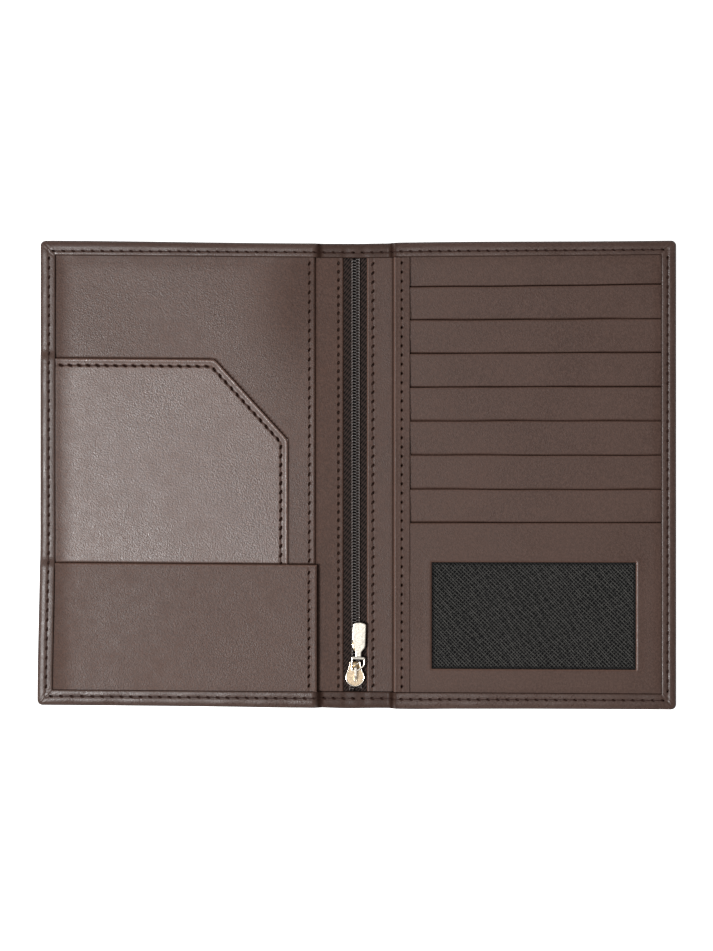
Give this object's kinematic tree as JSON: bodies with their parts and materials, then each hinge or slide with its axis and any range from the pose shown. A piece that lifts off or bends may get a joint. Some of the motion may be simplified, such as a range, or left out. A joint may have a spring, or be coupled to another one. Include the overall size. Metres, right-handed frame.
{
  "type": "passport holder",
  "caption": "Leather passport holder that opens flat: passport sleeve and slip pockets on the left, card slots and an ID window on the right, and a zipped pocket along the spine.",
  "frame": {"origin": "middle of the open holder, on the underside of the cover", "axes": "+X from the passport side to the card side, +Y up the page along the spine, +Z out of the inside face"},
  "size_m": [0.22, 0.161, 0.0067],
  "materials": {
    "cover_leather": "semi-gloss brown leather with a fine grain",
    "panel_leather": "semi-gloss brown leather with a fine grain",
    "pocket_leather": "glossy brown leather with a fine grain",
    "card_leather": "satin brown leather with a fine grain",
    "board": "matt",
    "lining_fabric": "matt woven",
    "mesh_fabric": "fine diamond mesh",
    "thread": "waxed twisted thread",
    "zipper_tape": "twill woven tape",
    "zipper_coil": "satin",
    "zipper_stop_metal": "satin",
    "gold_metal": "polished pale gold plate"
  },
  "bodies": {
    "spine": {"border_stitching_spine": "thread", "cover_spine": "cover_leather", "lining_spine": "lining_fabric", "zip_edge_left": "panel_leather", "zip_edge_right": "card_leather", "zip_stitching_left": "thread", "zip_stitching_right": "thread", "zipper_coil_left": "zipper_coil", "zipper_coil_right": "zipper_coil", "zipper_stops": "zipper_stop_metal", "zipper_tape_left": "zipper_tape", "zipper_tape_right": "zipper_tape"},
    "left_wing": {"cover_left": "cover_leather", "board_left": "board", "lining_left": "lining_fabric", "zip_pocket_lining_left": "lining_fabric", "zip_placket_left": "panel_leather", "passport_sleeve": "panel_leather", "angled_slip_pocket": "pocket_leather", "lower_slip_pocket": "panel_leather", "border_stitching_left": "thread", "sleeve_edge_stitching": "thread", "lower_pocket_stitching": "thread", "angled_pocket_stitching": "thread"},
    "right_wing": {"cover_right": "cover_leather", "board_right": "board", "lining_right": "lining_fabric", "zip_pocket_lining_right": "lining_fabric", "zip_placket_right": "card_leather", "card_panel_back": "card_leather", "card_panel_binding": "card_leather", "card_slot_1": "card_leather", "card_slot_2": "card_leather", "card_slot_3": "card_leather", "card_slot_4": "card_leather", "card_slot_5": "card_leather", "card_slot_6": "card_leather", "card_slot_7": "card_leather", "card_slot_linings": "lining_fabric", "id_window_panel": "card_leather", "id_window_mesh": "mesh_fabric", "id_pocket_lining": "lining_fabric", "border_stitching_right": "thread", "binding_stitching": "thread"},
    "slider": {"slider_body": "gold_metal", "slider_bridge": "gold_metal"},
    "pull": {"pull_tab": "gold_metal"}
  },
  "joints": [
    {"name": "left_fold", "type": "hinge", "parent": "spine", "child": "left_wing", "pos_m": [-0.0082, 0, 0.0021], "axis": [0, 1, 0], "range_deg": [0, 90]},
    {"name": "right_fold", "type": "hinge", "parent": "spine", "child": "right_wing", "pos_m": [0.0082, 0, 0.0021], "axis": [0, -1, 0], "range_deg": [0, 90]},
    {"name": "slider_travel", "type": "slide", "parent": "spine", "child": "slider", "axis": [0, 1, 0], "range_m": [0, 0.139]},
    {"name": "pull_swing", "type": "hinge", "parent": "slider", "child": "pull", "pos_m": [-0.00105, -0.0679, 0.00475], "axis": [0.9992, -0.0401, 0], "range_deg": [0, 155]}
  ]
}
